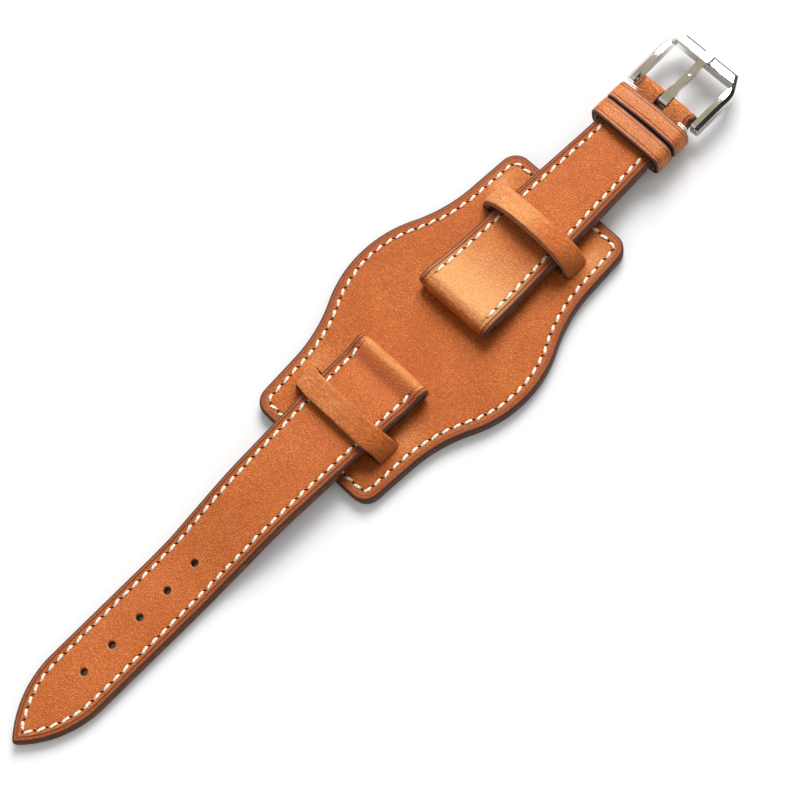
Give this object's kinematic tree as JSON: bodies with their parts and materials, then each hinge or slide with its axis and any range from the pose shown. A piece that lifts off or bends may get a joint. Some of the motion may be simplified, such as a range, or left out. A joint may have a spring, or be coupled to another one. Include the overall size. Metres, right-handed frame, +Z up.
{
  "type": "bund watch strap",
  "caption": "Bund watch strap: a shaped leather wrist pad, two strap halves threaded under bridges cut from the pad, two keepers and a pin buckle on a spring bar.",
  "frame": {"origin": "middle of the pad's wrist face, which lies on the table", "axes": "+X along the strap towards the buckle, +Y across it, +Z up out of the wrist face"},
  "size_m": [0.2109, 0.0502, 0.0104],
  "materials": {
    "pad_top_leather": "satin grained",
    "pad_lining": "matt",
    "strap_leather": "satin grained",
    "strap_filler": "painted edge",
    "strap_lining": "matt",
    "keeper_leather": "satin grained",
    "thread": "waxed thread",
    "buckle_steel": "polished",
    "tongue_steel": "polished",
    "bar_steel": "satin",
    "spring_steel": "drawn wire"
  },
  "bodies": {
    "pad": {"pad_lining": "pad_lining", "pad_top_leather": "pad_top_leather", "pad_stitching": "thread"},
    "tail_half": {"tail_outer": "strap_leather", "tail_core": "strap_filler", "tail_lining": "strap_lining", "tail_stitching": "thread"},
    "buckle_half": {"buckle_half_outer": "strap_leather", "buckle_half_core": "strap_filler", "buckle_half_lining": "strap_lining", "buckle_half_stitching": "thread", "bar_wraps": "thread", "fixed_keeper": "keeper_leather"},
    "floating_keeper": {"floating_keeper": "keeper_leather"},
    "buckle": {"buckle_frame": "buckle_steel", "bar_tube": "bar_steel", "bar_spring": "spring_steel"},
    "bar_pin_left": {"bar_pin_left": "bar_steel"},
    "bar_pin_right": {"bar_pin_right": "bar_steel"},
    "tongue": {"tongue": "tongue_steel"}
  },
  "joints": [
    {"name": "tail_half_slide", "type": "slide", "parent": "pad", "child": "tail_half", "axis": [-1, 0, 0], "range_m": [-0.007, 0.0075]},
    {"name": "buckle_half_slide", "type": "slide", "parent": "pad", "child": "buckle_half", "axis": [1, 0, 0], "range_m": [-0.007, 0.0165]},
    {"name": "floating_keeper_slide", "type": "slide", "parent": "buckle_half", "child": "floating_keeper", "axis": [-1, 0, 0], "range_m": [0, 0.009]},
    {"name": "buckle_swing", "type": "hinge", "parent": "buckle_half", "child": "buckle", "pos_m": [0.0696, 0, 0.00465], "axis": [0, 1, 0], "range_deg": [-30, 90]},
    {"name": "tongue_swing", "type": "hinge", "parent": "buckle", "child": "tongue", "pos_m": [0.0696, 0, 0.00465], "axis": [0, -1, 0], "range_deg": [0, 68]},
    {"name": "bar_pin_left_slide", "type": "slide", "parent": "buckle", "child": "bar_pin_left", "axis": [0, -1, 0], "range_m": [0, 0.00098], "stiffness_N_per_m": 1500, "springref_m": -0.0003, "deforming": ["bar_spring"]},
    {"name": "bar_pin_right_slide", "type": "slide", "parent": "buckle", "child": "bar_pin_right", "axis": [0, 1, 0], "range_m": [0, 0.00098], "stiffness_N_per_m": 1500, "springref_m": -0.0003, "deforming": ["bar_spring"]}
  ]
}
